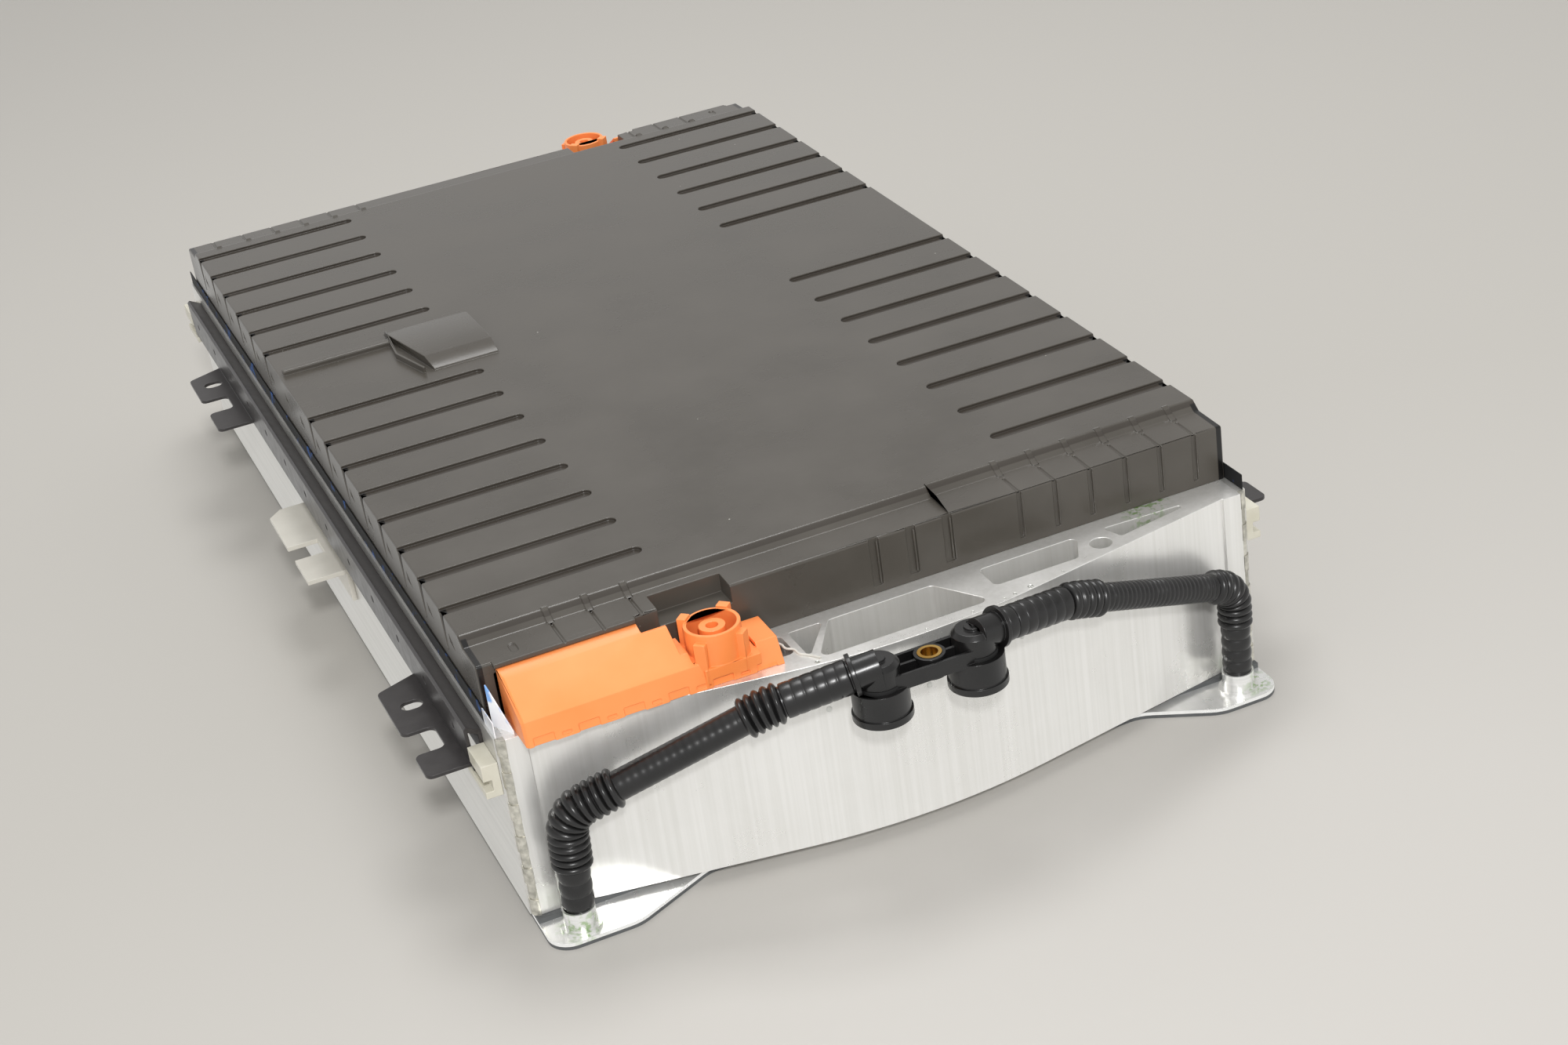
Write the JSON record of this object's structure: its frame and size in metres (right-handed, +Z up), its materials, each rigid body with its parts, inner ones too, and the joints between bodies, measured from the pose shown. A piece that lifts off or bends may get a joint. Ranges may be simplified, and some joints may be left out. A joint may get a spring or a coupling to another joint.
{
  "type": "ev battery module",
  "caption": "Battery module with bowed aluminium end plates, ribbed black cover, side rails, orange connectors and a corrugated hose pair on a coolant manifold.",
  "frame": {"origin": "middle of the underside of the cold plate, at the centre of the overall plan box", "axes": "+X across the module to the right seen from the manifold end, +Y from the manifold end to the rear, +Z up"},
  "size_m": [0.4966, 0.8396, 0.1575],
  "materials": {
    "cover_plastic": "semi-gloss thermoformed black plastic with dust and fine scratches",
    "extruded_aluminium": "mill finish with vertical die lines",
    "sheet_aluminium": "mill finish sheet",
    "weld_metal": "rough weld bead",
    "cold_plate_aluminium": "smooth rolled sheet",
    "gap_filler_grey": "grey thermal filler",
    "spigot_aluminium": "turned and brazed",
    "hose_black": "satin black corrugated polyamide",
    "manifold_black": "satin black moulded polyamide",
    "sleeve_brass": "turned brass",
    "seal_rubber": "moulded seal",
    "clip_steel": "spring steel",
    "orange_plastic": "satin orange moulding",
    "copper": "bare copper",
    "coated_steel": "black electro-coat",
    "bare_bracket": "bare metal",
    "ivory_plastic": "ivory moulding",
    "blue_film": "clear blue insulating film",
    "pouch_foil": "laminated pouch foil",
    "foam": "compression foam",
    "insulator_board": "insulating board",
    "carrier_plastic": "moulded carrier",
    "board_green": "circuit board"
  },
  "bodies": {
    "root": {"top_cover": "cover_plastic", "front_end_plate": "extruded_aluminium", "rear_end_plate": "extruded_aluminium", "left_side_plate": "sheet_aluminium", "right_side_plate": "sheet_aluminium", "front_corner_welds": "weld_metal", "rear_corner_welds": "weld_metal", "cold_plate_upper": "cold_plate_aluminium", "cold_plate_lower": "cold_plate_aluminium", "gap_filler": "gap_filler_grey", "left_spigot": "spigot_aluminium", "right_spigot": "spigot_aluminium", "left_coolant_hose": "hose_black", "right_coolant_hose": "hose_black", "coolant_manifold": "manifold_black", "compression_sleeve": "sleeve_brass", "cup_seals": "seal_rubber", "cup_clips": "clip_steel", "front_hv_housing": "orange_plastic", "rear_hv_housing": "orange_plastic", "front_hv_contact": "copper", "rear_hv_contact": "copper", "left_rail": "coated_steel", "right_rail": "coated_steel", "left_mid_bracket": "bare_bracket", "right_mid_bracket": "bare_bracket", "left_front_pad": "ivory_plastic", "right_front_pad": "ivory_plastic", "left_rear_pad": "ivory_plastic", "right_rear_pad": "ivory_plastic", "left_film": "blue_film", "right_film": "blue_film", "pouch_cells": "pouch_foil", "compression_pads": "foam", "front_insulator": "insulator_board", "rear_insulator": "insulator_board", "left_busbar_carrier": "carrier_plastic", "right_busbar_carrier": "carrier_plastic", "left_busbars": "copper", "right_busbars": "copper", "left_sense_board": "board_green", "right_sense_board": "board_green"}
  },
  "joints": []
}
